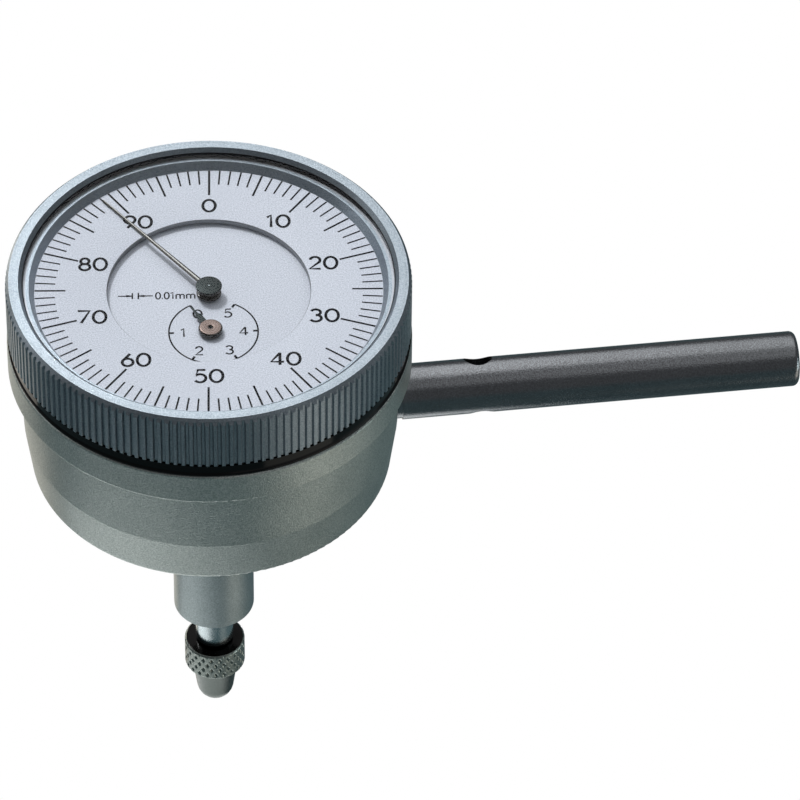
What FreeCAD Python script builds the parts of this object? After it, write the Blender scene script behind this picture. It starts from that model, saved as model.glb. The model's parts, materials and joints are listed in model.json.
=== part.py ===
import FreeCAD, Part
import math
import os

# Back plunger dial indicator, in millimetres. The origin is on the plunger's axis, at the
# case's back face where the stem leaves it. +Z points out of the dial, and +Y is twelve
# o'clock of the fixed centre dial. Heights are worked up from the back face.

V = FreeCAD.Vector
UP = V(0, 0, 1)
ALONG_X = V(1, 0, 0)

# Case: a cup with a tapered side, a flange under the bezel and a neck that the bezel turns on
case_radius = 25.9
case_wall = 1.6
back_thickness = 2.6
band_height = 7.25
band_flare = 0.9
body_height = 10.85
body_flare = 0.5
flange_height = 5.05
flange_step = 1.45
flange_round = 0.3
neck_height = 5.95
neck_wall = 2.0
back_round = 0.5

# Stem and the plunger's two bushes
stem_radius = 5.9
stem_length = 32.5
stem_bore_radius = 4.2
stem_spigot_radius = 4.9
stem_chamfer = 0.5
lower_bush_length = 10.0
lower_bush_inset = 0.4
upper_bush_length = 4.6

# Holding bar, which is screwed into the side of the case
bar_radius = 4.0
bar_reach = 85.2
bar_height = 8.0
bar_bearing = 4.4
bar_end_chamfer = 0.9
bar_seat_depth = 0.9
bar_seat_radius = 3.8
bar_shoulder_gap = 0.1
bar_stud_radius = 2.0
bar_boss_radius = 3.3
bar_boss_length = 3.4
bar_hole_radius = 2.1
bar_hole_from_axis = 38.9
bar_hole_tilt = 32.0

# Bezel and what turns with it
seat_ring_height = 1.9
seat_ring_bead = 0.17
seat_ring_bead_slope = 0.15
seat_ring_bead_flat = 0.3
bezel_lift = 0.2
bezel_play = 0.15
bezel_height = 8.9
bezel_inset = 0.1
knurl_count = 160
knurl_depth = 0.35
knurl_crest_share = 0.42
knurl_valley_share = 0.3
rim_chamfer = 0.6
rim_step = 0.4
rim_flat = 1.25
rim_bevel = 0.5
crystal_thickness = 0.7
crystal_recess = 0.55
gasket_width = 0.35
gasket_floor = 0.1
ledge_width = 0.6
rehaut_height = 1.2
rehaut_width = 0.75
wire_radius = 0.45
wire_inset = 0.05
wire_height = 1.95
wire_groove_play = 0.1
wire_gap_angle = 12.0
wire_gap_bearing = 200.0

# Dial: the outer ring turns with the bezel, and the centre dial stays with the movement
dial_ring_thickness = 0.8
dial_ring_bore_radius = 14.35
dial_ring_play = 0.05
dial_gap = 0.2
retainer_height = 0.65
retainer_width = 1.5
retainer_groove = 0.4
retainer_gap_angle = 8.0
retainer_gap_bearing = 250.0
centre_dial_thickness = 0.5
centre_dial_play = 2.0
dial_foot_radius = 0.6
dial_foot_from_axis = 12.0

# Movement plates
plate_play = 0.2
base_plate_thickness = 1.6
top_plate_thickness = 1.6
plate_opening_radius = 5.2
pillar_count = 3
pillar_radius = 2.0
pillar_spigot_radius = 1.2
pillar_from_axis = 19.5
pillar_first_bearing = 60.0
base_screw_count = 3
base_screw_from_axis = 15.0
base_screw_first_bearing = 30.0

# Cheese-head screws
screw_head_radius = 1.6
screw_head_height = 0.8
screw_shank_radius = 0.8
screw_grip = 3.0
screw_slot_width = 0.4
screw_slot_depth = 0.35

# Running clearance of every shaft in its hole
running_clearance = 0.02

# Spindle, its return spring and the contact point
travel = 5.2
spindle_radius = 2.8
spindle_upper_radius = 1.9
spindle_top_radius = 1.4
spindle_exposed = 7.1
spindle_end_chamfer = 0.15
collar_gap = 2.9
rest_gap = 0.05
collar_thickness = 0.8
collar_play = 0.3
spring_mean_radius = 3.0
spring_wire_radius = 0.25
spring_turns = 8.5
spring_end_gap = 0.02
contact_neck_radius = 2.1
contact_neck_height = 0.4
contact_collar_radius = 4.45
contact_collar_height = 4.9
contact_collar_chamfer = 0.3
contact_nose_radius = 3.4
contact_nose_length = 4.85
contact_tip_radius = 2.75
contact_stud_radius = 1.2
contact_stud_length = 4.0

# Rack: a toothed bar that stands on the top of the spindle
rack_pitch = 0.6
rack_tooth_share = 0.4
rack_inner_x = 1.2
rack_width = 1.8
rack_depth = 1.5
rack_foot_height = 1.75
rack_foot_radius = 2.5
rack_spare = 0.6
rack_pin_radius = 0.4
guide_pin_radius = 0.45
guide_pin_height = 4.0
guide_pin_play = 0.05
guide_pin_seat = 1.2
guide_slot_spare = 0.25

# Wheels and pinions. The crown wheel and the pinions turn the pointer once a millimetre.
pinion_teeth = 10
crown_teeth = 60
counter_teeth = 60
counter_offset = 7.5
tooth_share = 0.4
addendum_share = 0.84
dedendum_share = 1.21
tooth_tip_share = 0.5
tooth_root_share = 1.4
arbor_height = 16.6
arbor_radius = 0.5
arbor_pivot_radius = 0.3
rack_pinion_inset = 0.1
crown_face_width = 0.55
crown_rim_width = 1.3
crown_rim_depth = 1.9
crown_web_thickness = 0.6
crown_hub_radius = 1.1
crown_hub_length = 1.3
crown_edge = 0.2
crown_tooth_inset = 0.05

# Centre staff, counter staff and their lower bearings
pivot_shoulder = 0.05
pivot_radius = 0.35
staff_radius = 0.75
counter_staff_radius = 0.6
counter_post_radius = 0.5
counter_gear_thickness = 0.6
counter_gear_holes = 5
counter_gear_hole_radius = 1.1
counter_gear_hole_share = 0.58
counter_gear_drop = 1.9
pinion_overrun = 0.7
pinion_below_mesh = 0.25
cock_thickness = 0.9
centre_cock_reach = 8.6
centre_cock_width = 1.7
cock_post_width = 5.0
cock_post_depth = 3.0
counter_cock_gap = 2.0
counter_cock_post_gap = 0.8
arbor_cock_thickness = 1.2
arbor_cock_gap = 0.5
arbor_cock_half_width = 2.6
arbor_cock_top = 1.8
arbor_cock_foot = 4.6
arbor_cock_foot_height = 1.4
rack_cock_gap = 0.9
guide_edge = 1.6

# Hairspring that takes up the backlash
collet_width = 0.5
collet_height = 0.6
hairspring_turns = 5.0
hairspring_points_per_turn = 8
hairspring_thickness = 0.12
hairspring_height = 0.4
hairspring_inner_gap = 0.1
hairspring_outer_radius = 4.2
hairspring_clearance = 0.8
stud_radius = 0.5
stud_bearing = 270.0

# Hub and hands
hub_gap = 0.3
hub_base_radius = 1.75
hub_base_height = 0.3
hub_base_slope = 0.15
hub_waist_radius = 1.05
hub_top_radius = 1.85
hub_top_height = 0.35
hub_top_chamfer = 0.12
hub_crystal_gap = 0.3
pointer_gap = 0.25
pointer_thickness = 0.15
pointer_rim_gap = 0.9
pointer_root_width = 0.62
pointer_tip_width = 0.16
pointer_eye_radius = 1.6
pointer_bearing = 127.8
counter_hub_radius = 1.7
counter_hub_top_radius = 1.5
counter_hub_gap = 0.25
counter_hub_height = 0.8
counter_hub_hole_radius = 0.35
counter_hand_length = 5.15
counter_hand_body_share = 0.46
counter_hand_body_width = 0.86
counter_hand_shoulder = 0.3
counter_hand_finger_width = 0.34
counter_hand_tip_width = 0.24
counter_hand_thickness = 0.15
counter_hand_rise = 0.27
counter_hand_bearing = 120.0

# Heights up the case
flange_bottom_z = band_height + body_height
flange_top_z = flange_bottom_z + flange_height
neck_top_z = flange_top_z + neck_height
bezel_bottom_z = flange_top_z + seat_ring_height + bezel_lift
bezel_top_z = bezel_bottom_z + bezel_height
crystal_top_z = bezel_top_z - crystal_recess
crystal_bottom_z = crystal_top_z - crystal_thickness
ledge_z = crystal_bottom_z - gasket_floor
dial_face_z = ledge_z - rehaut_height
dial_ring_bottom_z = dial_face_z - dial_ring_thickness
centre_dial_top_z = dial_ring_bottom_z - dial_gap
top_plate_top_z = centre_dial_top_z - centre_dial_thickness
top_plate_bottom_z = top_plate_top_z - top_plate_thickness
base_plate_top_z = back_thickness + base_plate_thickness

wire_middle_z = bezel_bottom_z - bezel_lift + wire_height
wire_space_low_z = wire_middle_z - wire_radius - wire_groove_play
wire_space_high_z = wire_middle_z + wire_radius + wire_groove_play

# Radii of the case and the bezel
bore_radius = case_radius - case_wall
waist_radius = case_radius + band_flare
shoulder_radius = waist_radius + body_flare
flange_radius = shoulder_radius + flange_step
neck_radius = bore_radius + neck_wall
knurl_radius = flange_radius - bezel_inset
bezel_bore_radius = neck_radius + bezel_play
rim_outer_radius = knurl_radius - rim_chamfer
rim_inner_radius = rim_outer_radius - rim_flat
gasket_outer_radius = rim_inner_radius - rim_bevel
crystal_radius = gasket_outer_radius - gasket_width
ledge_inner_radius = crystal_radius - ledge_width
rehaut_radius = ledge_inner_radius - rehaut_width
plate_radius = bore_radius - plate_play
retainer_outer_radius = bezel_bore_radius + retainer_groove
retainer_inner_radius = retainer_outer_radius - retainer_width
centre_dial_radius = retainer_inner_radius - centre_dial_play
pointer_length = rehaut_radius - pointer_rim_gap
bar_seat_x = waist_radius - bar_seat_depth
bar_shoulder_x = shoulder_radius + bar_shoulder_gap

# Gear sizes
rack_pinion_radius = rack_pitch * pinion_teeth / (2 * math.pi)
gear_module = 2 * counter_offset / (counter_teeth + pinion_teeth)
pinion_radius = gear_module * pinion_teeth / 2
crown_radius = gear_module * crown_teeth / 2
counter_radius = gear_module * counter_teeth / 2
addendum = addendum_share * gear_module
dedendum = dedendum_share * gear_module
rack_module = rack_pitch / math.pi
rack_addendum = addendum_share * rack_module
rack_dedendum = dedendum_share * rack_module
crown_outer_radius = crown_radius + crown_edge
crown_tip_x = -(pinion_radius - addendum)
crown_root_x = -(pinion_radius + dedendum)
crown_back_x = crown_root_x - crown_rim_depth
crown_hub_end_x = crown_back_x - crown_hub_length + crown_web_thickness
mesh_z = arbor_height + crown_radius

# Heights of the spindle's parts at rest
collar_bottom_z = -stem_length + lower_bush_inset + lower_bush_length + collar_gap
collar_top_z = collar_bottom_z + collar_thickness
upper_bush_bottom_z = back_thickness - upper_bush_length
rack_foot_z = back_thickness + rest_gap
rack_foot_top_z = rack_foot_z + rack_foot_height
contact_top_z = -stem_length - spindle_exposed

# Heights of the vertical train
pinion_bottom_z = mesh_z - crown_face_width - pinion_below_mesh
centre_cock_top_z = pinion_bottom_z - 2 * pivot_shoulder
counter_gear_top_z = top_plate_bottom_z - counter_gear_drop
counter_gear_bottom_z = counter_gear_top_z - counter_gear_thickness
pinion_top_z = counter_gear_top_z + pinion_overrun
hairspring_middle_z = counter_gear_bottom_z - hairspring_clearance - hairspring_height / 2
counter_cock_top_z = counter_gear_bottom_z - counter_cock_gap
hub_bottom_z = centre_dial_top_z + hub_gap
hub_top_z = crystal_bottom_z - gasket_floor - hub_crystal_gap
pointer_z = dial_face_z + pointer_gap
counter_hub_z = centre_dial_top_z + counter_hub_gap

# Places across the movement
rack_outer_x = rack_inner_x + rack_width
rack_pitch_y = -rack_pinion_radius
rack_root_y = rack_pitch_y - rack_dedendum
rack_back_y = rack_root_y - rack_depth
rack_middle_y = (rack_root_y + rack_back_y) / 2
right_cock_x = rack_outer_x + rack_cock_gap
left_cock_x = crown_hub_end_x - arbor_cock_gap - arbor_cock_thickness
guide_pin_z = rack_foot_z + guide_pin_height
counter_place = V(0, -counter_offset, 0)
counter_cock_post_y = -(counter_offset + counter_radius + addendum + counter_cock_post_gap)


def save(name, shape):
    shape.exportStep("parts/%s.step" % name)


def polar(radius, bearing, z=0.0):
    angle = math.radians(bearing)
    return V(radius * math.cos(angle), radius * math.sin(angle), z)


def moved(shape, offset):
    copy = shape.copy()
    copy.translate(offset)
    return copy


def turned_about(shape, axis, degrees, centre=V(0, 0, 0)):
    copy = shape.copy()
    copy.rotate(centre, axis, degrees)
    return copy


def filled(points):
    """A flat face inside a closed row of corner points."""
    return Part.Face(Part.makePolygon(list(points) + [points[0]]))


def turned(profile):
    """A turned solid from corners given as (radius, height)."""
    face = filled([V(radius, 0, z) for radius, z in profile])
    return face.revolve(V(0, 0, 0), UP, 360)


def disc(radius, bottom, top, place=V(0, 0, 0)):
    return Part.makeCylinder(radius, top - bottom, place + V(0, 0, bottom), UP)


def washer(inner, outer, bottom, top, place=V(0, 0, 0)):
    return disc(outer, bottom, top, place).cut(disc(inner, bottom, top, place))


def rod_x(radius, start, end, y, z):
    return Part.makeCylinder(radius, end - start, V(start, y, z), ALONG_X)


def block(low, high):
    size = high - low
    return Part.makeBox(size.x, size.y, size.z, low)


def sector(radius, bottom, top, bearing, angle):
    """A wedge used to open a split ring."""
    start = polar(radius, bearing - angle / 2, bottom)
    end = polar(radius, bearing + angle / 2, bottom)
    return filled([V(0, 0, bottom), start, end]).extrude(V(0, 0, top - bottom))


def tooth_wire(count, root, tip, root_half, tip_half, first=0.0):
    """The outline of a toothed wheel, with each tooth's half angles in degrees."""
    points = []
    for index in range(count):
        middle = first + 360.0 * index / count
        points += [polar(root, middle - root_half), polar(tip, middle - tip_half)]
        points += [polar(tip, middle + tip_half), polar(root, middle + root_half)]
    return points


def toothed_disc(count, pitch_radius, add, ded, thickness, first=0.0):
    half = 180.0 * tooth_share / count
    outline = tooth_wire(count, pitch_radius - ded, pitch_radius + add,
                         half * tooth_root_share, half * tooth_tip_share, first)
    return filled(outline).extrude(V(0, 0, thickness))


def screw(place, length=screw_grip):
    """A slotted cheese-head screw standing on place, with its shank below."""
    head = disc(screw_head_radius, 0, screw_head_height)
    slot = block(V(-2 * screw_head_radius, -screw_slot_width / 2, screw_head_height - screw_slot_depth),
                 V(2 * screw_head_radius, screw_slot_width / 2, screw_head_height))
    shank = disc(screw_shank_radius, -length, 0)
    return moved(head.cut(slot).fuse(shank).removeSplitter(), place)


def screw_space(place, length=screw_grip):
    """What a screw takes out of the pieces that it holds."""
    head = disc(screw_head_radius, 0, screw_head_height)
    return moved(head.fuse(disc(screw_shank_radius, -length, 0)), place)


def rim_edges(shape, radius, z):
    """The circular edges of a turned shape at one radius and height."""
    return [edge for edge in shape.Edges
            if edge.BoundBox.ZLength < 0.001 and abs(edge.BoundBox.ZMin - z) < 0.001
            and abs(edge.BoundBox.XMax - radius) < 0.001]


def ring_places(count, radius, first, z):
    return [polar(radius, first + 360.0 * index / count, z) for index in range(count)]


PILLARS = ring_places(pillar_count, pillar_from_axis, pillar_first_bearing, 0)
BASE_SCREWS = ring_places(base_screw_count, base_screw_from_axis, base_screw_first_bearing, base_plate_top_z)
base_screw_length = base_plate_thickness + back_thickness / 2
top_screw_z = top_plate_top_z - screw_head_height
centre_post_y = centre_cock_reach + cock_post_depth / 2
counter_post_y = counter_cock_post_y - cock_post_depth / 2
TOP_SCREWS = [place + V(0, 0, top_screw_z) for place in PILLARS]
TOP_SCREWS += [V(0, centre_post_y, top_screw_z), V(0, counter_post_y, top_screw_z)]
foot_screw_z = base_plate_top_z + arbor_cock_foot_height
left_foot_x = left_cock_x - arbor_cock_foot / 2
right_foot_x = right_cock_x + arbor_cock_thickness + arbor_cock_foot / 2
FOOT_SCREWS = [V(left_foot_x, 0, foot_screw_z), V(right_foot_x, 0, foot_screw_z)]
foot_screw_length = arbor_cock_foot_height + base_plate_thickness / 2


def along_bar(shape):
    """Brings a shape made along +X to the bar's height and bearing."""
    return turned_about(moved(shape, V(0, 0, bar_height)), UP, bar_bearing)


def make_case():
    outside = [(0, 0), (case_radius, 0), (waist_radius, band_height),
               (shoulder_radius, flange_bottom_z), (flange_radius, flange_bottom_z),
               (flange_radius, flange_top_z), (neck_radius, flange_top_z),
               (neck_radius, neck_top_z), (bore_radius, neck_top_z),
               (bore_radius, back_thickness), (0, back_thickness)]
    case = turned(outside)
    case = case.makeFillet(min(back_round, case_wall / 2), rim_edges(case, case_radius, 0))
    flange_edges = rim_edges(case, flange_radius, flange_bottom_z)
    flange_edges += rim_edges(case, flange_radius, flange_top_z)
    case = case.makeFillet(flange_round, flange_edges)
    boss_start = bore_radius - bar_boss_length
    boss = rod_x(bar_boss_radius, boss_start, case_radius - case_wall / 2, 0, 0)
    case = case.fuse(along_bar(boss))
    case = case.cut(along_bar(rod_x(bar_seat_radius, bar_seat_x, 2 * case_radius, 0, 0)))
    case = case.cut(along_bar(rod_x(bar_stud_radius, boss_start, 2 * case_radius, 0, 0)))
    case = case.cut(disc(stem_spigot_radius, 0, back_thickness))
    case = case.cut(washer(neck_radius - wire_inset - wire_radius, neck_radius + 1,
                           wire_space_low_z, wire_space_high_z))
    for place in BASE_SCREWS:
        case = case.cut(screw_space(place, base_screw_length))
    return case.removeSplitter()


def make_bezel_wire():
    wire = Part.makeTorus(neck_radius - wire_inset, wire_radius, V(0, 0, wire_middle_z))
    opening = sector(2 * neck_radius, wire_middle_z - 1, wire_middle_z + 1,
                     wire_gap_bearing, wire_gap_angle)
    return wire.cut(opening)


def make_seat_ring():
    bottom, top = flange_top_z, flange_top_z + seat_ring_height
    wall = knurl_radius - seat_ring_bead
    bead_low = bottom + seat_ring_bead_slope
    bead_high = bead_low + seat_ring_bead_flat
    return turned([(neck_radius, bottom), (wall, bottom), (knurl_radius, bead_low),
                   (knurl_radius, bead_high), (wall, bead_high + seat_ring_bead_slope),
                   (wall, top), (neck_radius, top)])


def make_stem():
    return turned([(stem_bore_radius, -stem_length), (stem_radius - stem_chamfer, -stem_length),
                   (stem_radius, -stem_length + stem_chamfer), (stem_radius, 0),
                   (stem_spigot_radius, 0), (stem_spigot_radius, back_thickness),
                   (stem_bore_radius, back_thickness)])


def make_lower_bush():
    bottom = -stem_length + lower_bush_inset
    return washer(spindle_radius + running_clearance, stem_bore_radius, bottom, bottom + lower_bush_length)


def make_upper_bush():
    return washer(spindle_upper_radius + running_clearance, stem_bore_radius,
                  upper_bush_bottom_z, back_thickness)


def make_holding_bar():
    bar = rod_x(bar_radius, bar_shoulder_x, bar_reach, 0, 0)
    far_end = [edge for edge in bar.Edges if edge.BoundBox.XMin > bar_reach - 0.001]
    bar = bar.makeFillet(bar_end_chamfer, far_end)
    bar = bar.fuse(rod_x(bar_seat_radius, bar_seat_x, bar_shoulder_x, 0, 0))
    bar = bar.fuse(rod_x(bar_stud_radius, bore_radius - bar_boss_length, bar_seat_x, 0, 0))
    half = 2 * bar_radius
    drill = Part.makeCylinder(bar_hole_radius, 2 * half, V(bar_hole_from_axis, 0, -half), UP)
    drill = turned_about(drill, ALONG_X, -bar_hole_tilt)
    return along_bar(bar.cut(drill).removeSplitter())


def make_base_plate():
    plate = washer(plate_opening_radius, plate_radius, back_thickness, base_plate_top_z)
    for place in PILLARS:
        plate = plate.cut(disc(pillar_spigot_radius, back_thickness, base_plate_top_z, place))
    for place in BASE_SCREWS:
        plate = plate.cut(screw_space(place, base_screw_length))
    for place in FOOT_SCREWS:
        plate = plate.cut(screw_space(place, foot_screw_length))
    return plate


def make_pillars():
    pillars = []
    for place in PILLARS:
        pillar = disc(pillar_radius, base_plate_top_z, top_plate_bottom_z, place)
        pillar = pillar.fuse(disc(pillar_spigot_radius, back_thickness, base_plate_top_z, place))
        pillar = pillar.cut(screw_space(place + V(0, 0, top_screw_z)))
        pillars.append(pillar.removeSplitter())
    return Part.makeCompound(pillars)


def make_top_plate():
    plate = disc(plate_radius, top_plate_bottom_z, top_plate_top_z)
    plate = plate.cut(disc(staff_radius + running_clearance, top_plate_bottom_z, top_plate_top_z))
    plate = plate.cut(disc(counter_staff_radius + running_clearance, top_plate_bottom_z,
                           top_plate_top_z, counter_place))
    for place in TOP_SCREWS:
        plate = plate.cut(screw_space(place))
    for side in (-1, 1):
        foot_place = V(side * dial_foot_from_axis, 0, 0)
        plate = plate.cut(disc(dial_foot_radius, top_plate_bottom_z, top_plate_top_z, foot_place))
    return plate


def make_centre_dial():
    dial = disc(centre_dial_radius, top_plate_top_z, centre_dial_top_z)
    for place in (V(0, 0, 0), counter_place):
        dial = dial.cut(disc(hub_waist_radius + hub_gap, top_plate_top_z, centre_dial_top_z, place))
    for side in (-1, 1):
        foot_place = V(side * dial_foot_from_axis, 0, 0)
        dial = dial.fuse(disc(dial_foot_radius, top_plate_bottom_z, top_plate_top_z, foot_place))
    return dial.removeSplitter()


def make_arbor_cock(cock_x, foot_x, low_y):
    """An upright plate with a foot, which carries one end of the horizontal arbor."""
    high_y = arbor_cock_half_width
    upright = block(V(cock_x, low_y, base_plate_top_z),
                    V(cock_x + arbor_cock_thickness, high_y, arbor_height + arbor_cock_top))
    half_foot = arbor_cock_foot / 2
    foot = block(V(foot_x - half_foot, -high_y, base_plate_top_z),
                 V(foot_x + half_foot, high_y, foot_screw_z))
    cock = upright.fuse(foot).removeSplitter()
    pivot = rod_x(arbor_pivot_radius + running_clearance, cock_x, cock_x + arbor_cock_thickness,
                  0, arbor_height)
    return cock.cut(pivot).cut(screw_space(V(foot_x, 0, foot_screw_z), foot_screw_length))


def make_right_arbor_cock():
    low_y = rack_middle_y - guide_pin_radius - guide_edge
    cock = make_arbor_cock(right_cock_x, right_foot_x, low_y)
    half = guide_pin_radius + guide_pin_play
    low = guide_pin_z - guide_pin_radius - guide_slot_spare
    high = guide_pin_z + travel + guide_pin_radius + guide_slot_spare
    slot = block(V(right_cock_x, rack_middle_y - half, low),
                 V(right_cock_x + arbor_cock_thickness, rack_middle_y + half, high))
    return cock.cut(slot)


def make_left_arbor_cock():
    return make_arbor_cock(left_cock_x, left_foot_x, -arbor_cock_half_width)


def make_cock(post_y, pivot_y, top_z, hole_radius, arm_width):
    """A bearing arm on a post that hangs from the top plate."""
    bottom_z = top_z - cock_thickness
    low_y, high_y = post_y - cock_post_depth / 2, post_y + cock_post_depth / 2
    post = block(V(-cock_post_width / 2, low_y, bottom_z),
                 V(cock_post_width / 2, high_y, top_plate_bottom_z))
    arm_low, arm_high = min(pivot_y, post_y), max(pivot_y, post_y)
    arm = block(V(-arm_width / 2, arm_low, bottom_z), V(arm_width / 2, arm_high, top_z))
    eye = disc(arm_width / 2, bottom_z, top_z, V(0, pivot_y, 0))
    cock = post.fuse(arm).fuse(eye).removeSplitter()
    cock = cock.cut(disc(hole_radius, bottom_z, top_z, V(0, pivot_y, 0)))
    return cock.cut(screw_space(V(0, post_y, top_screw_z)))


def make_centre_cock():
    return make_cock(centre_post_y, 0, centre_cock_top_z, pivot_radius + running_clearance,
                     centre_cock_width)


def make_counter_cock():
    return make_cock(counter_post_y, -counter_offset, counter_cock_top_z,
                     pivot_radius + running_clearance, 2 * centre_cock_width)


def make_spindle():
    spindle = turned([(0, contact_top_z), (spindle_radius - spindle_end_chamfer, contact_top_z),
                      (spindle_radius, contact_top_z + spindle_end_chamfer),
                      (spindle_radius, collar_bottom_z), (spindle_upper_radius, collar_bottom_z),
                      (spindle_upper_radius, rack_foot_z), (spindle_top_radius, rack_foot_z),
                      (spindle_top_radius, rack_foot_top_z), (0, rack_foot_top_z)])
    spindle = spindle.cut(disc(contact_stud_radius, contact_top_z, contact_top_z + contact_stud_length))
    return spindle.cut(rack_pin_rod())


def make_spring_collar():
    return washer(spindle_upper_radius, stem_bore_radius - collar_play, collar_bottom_z, collar_top_z)


def make_return_spring():
    start = collar_top_z + spring_wire_radius + spring_end_gap
    end = upper_bush_bottom_z - spring_wire_radius - spring_end_gap
    path = Part.makeHelix((end - start) / spring_turns, end - start, spring_mean_radius)
    section = Part.Wire(Part.makeCircle(spring_wire_radius, V(spring_mean_radius, 0, 0), V(0, 1, 0)))
    coil = Part.Wire(path).makePipeShell([section], True, True)
    return moved(coil, V(0, 0, start))


def make_contact_point():
    collar_top = contact_top_z - contact_neck_height
    collar_low = collar_top - contact_collar_height
    tip_z = collar_low - contact_nose_length
    slant = math.acos(contact_tip_radius / math.hypot(contact_nose_radius, contact_nose_length))
    taper = slant - math.atan2(contact_nose_length, contact_nose_radius)
    ball_edge = contact_tip_radius * math.cos(taper)
    ball_edge_z = tip_z - contact_tip_radius * math.sin(taper)
    inside = contact_collar_radius - contact_collar_chamfer
    profile = [(0, contact_top_z), (contact_neck_radius, contact_top_z),
               (contact_neck_radius, collar_top), (inside, collar_top),
               (contact_collar_radius, collar_top - contact_collar_chamfer),
               (contact_collar_radius, collar_low + contact_collar_chamfer), (inside, collar_low),
               (contact_nose_radius, collar_low), (ball_edge, ball_edge_z), (0, ball_edge_z)]
    ball = Part.makeSphere(contact_tip_radius, V(0, 0, tip_z))
    stud = disc(contact_stud_radius, contact_top_z, contact_top_z + contact_stud_length)
    return turned(profile).fuse([ball, stud]).removeSplitter()


def rack_pin_rod():
    half = rack_foot_radius - rest_gap
    return rod_x(rack_pin_radius, -half, half, 0, rack_foot_z + rack_foot_height / 2)


def guide_pin_rod():
    start = rack_inner_x + rack_width - guide_pin_seat
    return rod_x(guide_pin_radius, start, right_cock_x + arbor_cock_thickness - rest_gap,
                 rack_middle_y, guide_pin_z)


def make_rack_bar():
    top = arbor_height + rack_spare
    bar = block(V(rack_inner_x, rack_back_y, rack_foot_z), V(rack_outer_x, rack_root_y, top))
    foot = disc(rack_foot_radius, rack_foot_z, rack_foot_top_z)
    web = block(V(0, rack_back_y, rack_foot_z), V(rack_outer_x, 0, rack_foot_top_z))
    bar = bar.fuse(foot).fuse(web).removeSplitter()
    bar = bar.fuse(rack_teeth(top)).removeSplitter()
    bar = bar.cut(disc(spindle_top_radius, rack_foot_z, rack_foot_top_z))
    return bar.cut(rack_pin_rod()).cut(guide_pin_rod())


def rack_teeth(top):
    """Teeth that face +Y, with a gap at the arbor's height."""
    half = rack_pitch * rack_tooth_share / 2
    root_half, tip_half = half * tooth_root_share, half * tooth_tip_share
    first = math.floor((rack_spare - root_half) / rack_pitch - 0.5)
    count = first + 1 + math.ceil((travel + rack_spare) / rack_pitch)
    teeth = []
    for index in range(count):
        middle = arbor_height + (first + 0.5 - index) * rack_pitch
        tip_y, root_y = rack_pitch_y + rack_addendum, rack_root_y - rack_addendum
        corners = [V(rack_inner_x, root_y, middle - root_half),
                   V(rack_inner_x, rack_root_y, middle - root_half),
                   V(rack_inner_x, tip_y, middle - tip_half), V(rack_inner_x, tip_y, middle + tip_half),
                   V(rack_inner_x, rack_root_y, middle + root_half),
                   V(rack_inner_x, root_y, middle + root_half)]
        teeth.append(filled(corners).extrude(V(rack_width, 0, 0)))
    return Part.makeCompound(teeth)


def make_arbor():
    left_end, right_end = left_cock_x + rest_gap, right_cock_x + arbor_cock_thickness - rest_gap
    left_shoulder = left_cock_x + arbor_cock_thickness + pivot_shoulder
    right_shoulder = right_cock_x - pivot_shoulder
    middle = rod_x(arbor_radius, left_shoulder, right_shoulder, 0, arbor_height)
    return middle.fuse(rod_x(arbor_pivot_radius, left_end, right_end, 0, arbor_height)).removeSplitter()


def laid_along_x(shape, start):
    """Lays a shape made about +Z along the arbor, so that its foot is at start."""
    return moved(turned_about(shape, V(0, 1, 0), 90), V(start, 0, arbor_height))


def make_rack_pinion():
    width = rack_width - 2 * rack_pinion_inset
    wheel = toothed_disc(pinion_teeth, rack_pinion_radius, rack_addendum, rack_dedendum, width, -90.0)
    wheel = wheel.cut(disc(arbor_radius, 0, width))
    return laid_along_x(wheel, rack_inner_x + rack_pinion_inset)


def make_crown_wheel():
    rim_inner = crown_outer_radius - crown_rim_width
    depth = crown_root_x - crown_back_x
    wheel = washer(rim_inner, crown_outer_radius, 0, depth)
    wheel = wheel.fuse(disc(rim_inner, 0, crown_web_thickness))
    wheel = wheel.fuse(disc(crown_hub_radius, crown_web_thickness - crown_hub_length, crown_web_thickness))
    half = math.pi * gear_module * tooth_share / 2
    root_half, tip_half = half * tooth_root_share, half * tooth_tip_share
    tip = crown_tip_x - crown_back_x
    inner = crown_outer_radius - crown_face_width
    teeth = []
    for index in range(crown_teeth):
        corners = [V(inner, -root_half, depth - addendum), V(inner, -root_half, depth),
                   V(inner, -tip_half, tip), V(inner, tip_half, tip),
                   V(inner, root_half, depth), V(inner, root_half, depth - addendum)]
        tooth = filled(corners).extrude(V(crown_face_width - crown_tooth_inset, 0, 0))
        teeth.append(turned_about(tooth, UP, (index + 0.5) * 360.0 / crown_teeth))
    wheel = wheel.multiFuse(teeth).removeSplitter()
    wheel = wheel.cut(disc(arbor_radius, -2 * crown_hub_length, 2 * depth))
    return laid_along_x(wheel, crown_back_x)


def make_centre_pinion():
    pinion = toothed_disc(pinion_teeth, pinion_radius, addendum, dedendum,
                          pinion_top_z - pinion_bottom_z, 180.0)
    pinion = moved(pinion, V(0, 0, pinion_bottom_z))
    pivot = disc(pivot_radius, centre_cock_top_z - cock_thickness + rest_gap, pinion_bottom_z)
    shoulder = disc(pinion_radius - dedendum, centre_cock_top_z + pivot_shoulder, pinion_bottom_z)
    staff = disc(staff_radius, pinion_top_z, hub_top_z - hub_top_height)
    return pinion.fuse(pivot).fuse(shoulder).fuse(staff).removeSplitter()


def make_pointer_hub():
    top = hub_top_z
    waist_low, waist_high = hub_bottom_z + hub_base_height, top - hub_top_height
    hub = turned([(0, hub_bottom_z), (hub_base_radius, hub_bottom_z), (hub_base_radius, waist_low),
                  (hub_waist_radius, waist_low + hub_base_slope), (hub_waist_radius, waist_high),
                  (hub_top_radius, waist_high), (hub_top_radius, top - hub_top_chamfer),
                  (hub_top_radius - hub_top_chamfer, top), (0, top)])
    return hub.cut(disc(staff_radius, hub_bottom_z, waist_high))


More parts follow.
